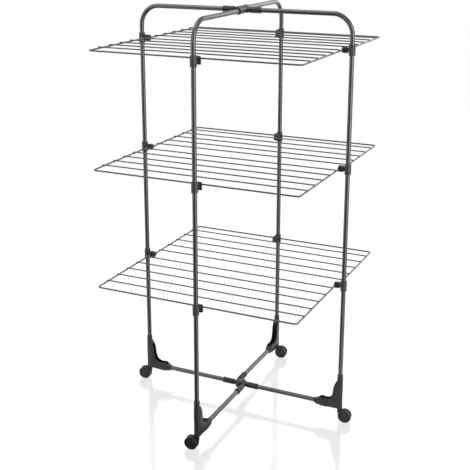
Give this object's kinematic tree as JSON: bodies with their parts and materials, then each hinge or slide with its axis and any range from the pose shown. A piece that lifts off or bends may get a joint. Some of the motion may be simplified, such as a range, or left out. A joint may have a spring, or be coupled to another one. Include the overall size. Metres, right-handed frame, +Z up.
{
  "type": "tower clothes airer",
  "caption": "Folding tower clothes airer: crossed tube frames on casters with tiers of hinged wire drying wings.",
  "frame": {"origin": "on the floor under the vertical pivot where the two frames cross", "axes": "+X along the rungs from the left upright to the right one, +Y from the front upright to the back one, +Z up"},
  "size_m": [0.8822, 0.8222, 1.48],
  "materials": {
    "frame_tube": "satin metallic grey",
    "coated_wire": "satin dark grey coating",
    "clip_plastic": "fine matt moulded",
    "hub_plastic": "fine matt moulded",
    "bracket_plastic": "fine matt moulded",
    "caster_plastic": "satin moulded",
    "wheel_plastic": "satin moulded",
    "steel_pin": "plated"
  },
  "bodies": {
    "standing_frame": {"left_upright": "frame_tube", "left_bottom_bar": "frame_tube", "left_corner_bracket": "bracket_plastic", "left_low_hinge_clip": "clip_plastic", "left_mid_hinge_clip": "clip_plastic", "left_top_hinge_clip": "clip_plastic", "right_upright": "frame_tube", "right_bottom_bar": "frame_tube", "right_corner_bracket": "bracket_plastic", "right_low_hinge_clip": "clip_plastic", "right_mid_hinge_clip": "clip_plastic", "right_top_hinge_clip": "clip_plastic", "top_hub_base": "hub_plastic", "top_hub_rivet": "steel_pin", "bottom_hub_base": "hub_plastic", "bottom_hub_rivet": "steel_pin"},
    "swing_frame": {"front_upright": "frame_tube", "front_bottom_bar": "frame_tube", "front_corner_bracket": "bracket_plastic", "front_low_hook_clip": "clip_plastic", "front_mid_hook_clip": "clip_plastic", "front_top_hook_clip": "clip_plastic", "back_upright": "frame_tube", "back_bottom_bar": "frame_tube", "back_corner_bracket": "bracket_plastic", "back_low_hook_clip": "clip_plastic", "back_mid_hook_clip": "clip_plastic", "back_top_hook_clip": "clip_plastic", "top_hub_swivel": "hub_plastic", "bottom_hub_swivel": "hub_plastic"},
    "front_low_wing": {"front_low_wing_rack": "coated_wire", "front_low_wing_near_pivot": "clip_plastic", "front_low_wing_far_pivot": "clip_plastic"},
    "front_mid_wing": {"front_mid_wing_rack": "coated_wire", "front_mid_wing_near_pivot": "clip_plastic", "front_mid_wing_far_pivot": "clip_plastic"},
    "front_top_wing": {"front_top_wing_rack": "coated_wire", "front_top_wing_near_pivot": "clip_plastic", "front_top_wing_far_pivot": "clip_plastic"},
    "back_low_wing": {"back_low_wing_rack": "coated_wire", "back_low_wing_near_pivot": "clip_plastic", "back_low_wing_far_pivot": "clip_plastic"},
    "back_mid_wing": {"back_mid_wing_rack": "coated_wire", "back_mid_wing_near_pivot": "clip_plastic", "back_mid_wing_far_pivot": "clip_plastic"},
    "back_top_wing": {"back_top_wing_rack": "coated_wire", "back_top_wing_near_pivot": "clip_plastic", "back_top_wing_far_pivot": "clip_plastic"},
    "left_caster": {"left_caster_housing": "caster_plastic", "left_caster_stem": "steel_pin"},
    "left_wheels": {"left_caster_wheels": "wheel_plastic"},
    "right_caster": {"right_caster_housing": "caster_plastic", "right_caster_stem": "steel_pin"},
    "right_wheels": {"right_caster_wheels": "wheel_plastic"},
    "front_caster": {"front_caster_housing": "caster_plastic", "front_caster_stem": "steel_pin"},
    "front_wheels": {"front_caster_wheels": "wheel_plastic"},
    "back_caster": {"back_caster_housing": "caster_plastic", "back_caster_stem": "steel_pin"},
    "back_wheels": {"back_caster_wheels": "wheel_plastic"}
  },
  "joints": [
    {"name": "fold", "type": "hinge", "parent": "standing_frame", "child": "swing_frame", "pos_m": [0, 0, 0], "axis": [0, 0, -1], "range_deg": [0, 78]},
    {"name": "front_low_wing_fold", "type": "hinge", "parent": "standing_frame", "child": "front_low_wing", "pos_m": [0, 0, 0.528], "axis": [1, 0, 0], "range_deg": [0, 78]},
    {"name": "front_mid_wing_fold", "type": "hinge", "parent": "standing_frame", "child": "front_mid_wing", "pos_m": [0, 0, 0.95], "axis": [1, 0, 0], "range_deg": [0, 78]},
    {"name": "front_top_wing_fold", "type": "hinge", "parent": "standing_frame", "child": "front_top_wing", "pos_m": [0, 0, 1.352], "axis": [1, 0, 0], "range_deg": [0, 78]},
    {"name": "back_low_wing_fold", "type": "hinge", "parent": "standing_frame", "child": "back_low_wing", "pos_m": [0, 0, 0.528], "axis": [-1, 0, 0], "range_deg": [0, 78]},
    {"name": "back_mid_wing_fold", "type": "hinge", "parent": "standing_frame", "child": "back_mid_wing", "pos_m": [0, 0, 0.95], "axis": [-1, 0, 0], "range_deg": [0, 78]},
    {"name": "back_top_wing_fold", "type": "hinge", "parent": "standing_frame", "child": "back_top_wing", "pos_m": [0, 0, 1.352], "axis": [-1, 0, 0], "range_deg": [0, 78]},
    {"name": "left_swivel", "type": "hinge", "parent": "standing_frame", "child": "left_caster", "pos_m": [-0.395, 0, 0.05], "axis": [0, 0, 1], "continuous": true},
    {"name": "left_roll", "type": "hinge", "parent": "left_caster", "child": "left_wheels", "pos_m": [-0.4158, -0.00292, 0.024], "axis": [0.1392, -0.9903, 0], "continuous": true},
    {"name": "right_swivel", "type": "hinge", "parent": "standing_frame", "child": "right_caster", "pos_m": [0.395, 0, 0.05], "axis": [0, 0, 1], "continuous": true},
    {"name": "right_roll", "type": "hinge", "parent": "right_caster", "child": "right_wheels", "pos_m": [0.4158, 0.00292, 0.024], "axis": [-0.1392, 0.9903, 0], "continuous": true},
    {"name": "front_swivel", "type": "hinge", "parent": "swing_frame", "child": "front_caster", "pos_m": [0.0165, -0.395, 0.05], "axis": [0, 0, 1], "continuous": true},
    {"name": "front_roll", "type": "hinge", "parent": "front_caster", "child": "front_wheels", "pos_m": [-0.00442, -0.39683, 0.024], "axis": [0.0872, -0.9962, 0], "continuous": true},
    {"name": "back_swivel", "type": "hinge", "parent": "swing_frame", "child": "back_caster", "pos_m": [-0.0165, 0.395, 0.05], "axis": [0, 0, 1], "continuous": true},
    {"name": "back_roll", "type": "hinge", "parent": "back_caster", "child": "back_wheels", "pos_m": [0.00442, 0.39683, 0.024], "axis": [-0.0872, 0.9962, 0], "continuous": true}
  ],
  "couplings": [
    {"joint": "front_low_wing_fold", "follows": "fold", "ratio": 1},
    {"joint": "front_mid_wing_fold", "follows": "fold", "ratio": 1},
    {"joint": "front_top_wing_fold", "follows": "fold", "ratio": 1},
    {"joint": "back_low_wing_fold", "follows": "fold", "ratio": 1},
    {"joint": "back_mid_wing_fold", "follows": "fold", "ratio": 1},
    {"joint": "back_top_wing_fold", "follows": "fold", "ratio": 1}
  ]
}
